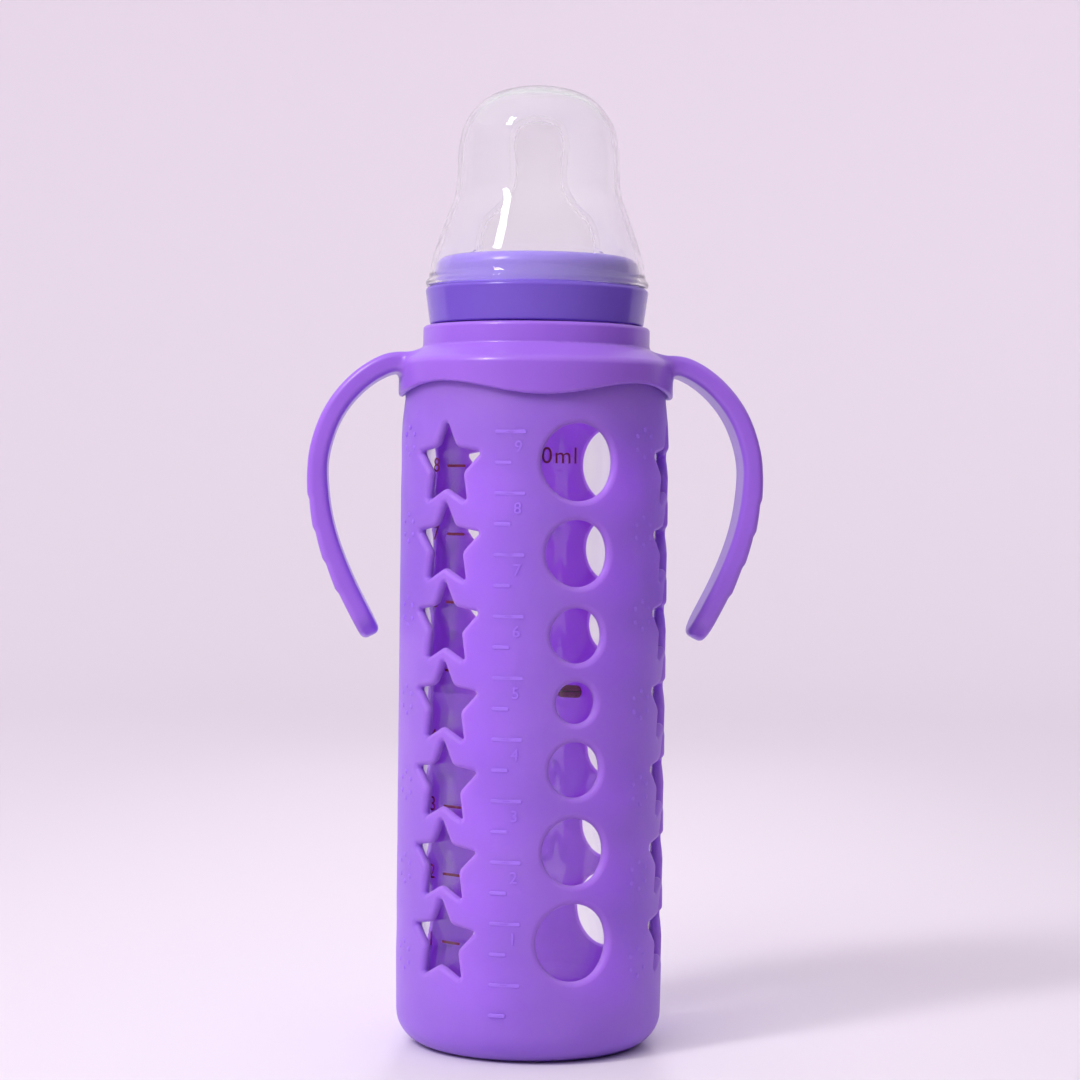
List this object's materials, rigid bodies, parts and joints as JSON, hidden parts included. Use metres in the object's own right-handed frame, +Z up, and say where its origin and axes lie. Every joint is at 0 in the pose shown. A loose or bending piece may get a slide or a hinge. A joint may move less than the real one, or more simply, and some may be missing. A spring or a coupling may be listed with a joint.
{
  "type": "baby feeding bottle with handles",
  "caption": "Glass baby bottle in a silicone sleeve with star and round windows, a handle ring with two curved handles, a screw collar, a silicone teat and a clear push-on cap.",
  "frame": {"origin": "centre of the base, on the surface that the bottle stands on", "axes": "+Z up along the bottle's axis, X through the two handles, the window columns' front faces -Y"},
  "size_m": [0.1038, 0.063, 0.2192],
  "materials": {
    "clear_glass": "polished, clear",
    "violet_silicone": "matte moulded silicone",
    "violet_plastic": "glossy moulded polypropylene",
    "blue_violet_plastic": "glossy moulded polypropylene",
    "clear_silicone": "clear soft silicone",
    "clear_plastic": "clear polished plastic"
  },
  "bodies": {
    "bottle": {"glass_bottle": "clear_glass"},
    "sleeve": {"silicone_sleeve": "violet_silicone"},
    "handles": {"handle_ring": "violet_plastic"},
    "teat": {"teat": "clear_silicone"},
    "collar": {"screw_collar": "blue_violet_plastic"},
    "cap": {"clear_cap": "clear_plastic"}
  },
  "joints": [
    {"name": "sleeve_pull", "type": "slide", "parent": "bottle", "child": "sleeve", "axis": [0, 0, -1], "range_m": [0, 0.16]},
    {"name": "handle_swivel", "type": "hinge", "parent": "bottle", "child": "handles", "pos_m": [0, 0, 0.16], "axis": [0, 0, 1], "continuous": true},
    {"name": "collar_rise", "type": "slide", "parent": "bottle", "child": "teat", "axis": [0, 0, 1], "range_m": [0, 0.0074]},
    {"name": "collar_turn", "type": "hinge", "parent": "teat", "child": "collar", "pos_m": [0, 0, 0.17], "axis": [0, 0, 1], "range_deg": [0, 630]},
    {"name": "cap_pull", "type": "slide", "parent": "collar", "child": "cap", "axis": [0, 0, 1], "range_m": [0, 0.06]}
  ],
  "couplings": [
    {"joint": "collar_rise", "follows": "collar_turn", "m_per_rad": 0.00066845}
  ]
}
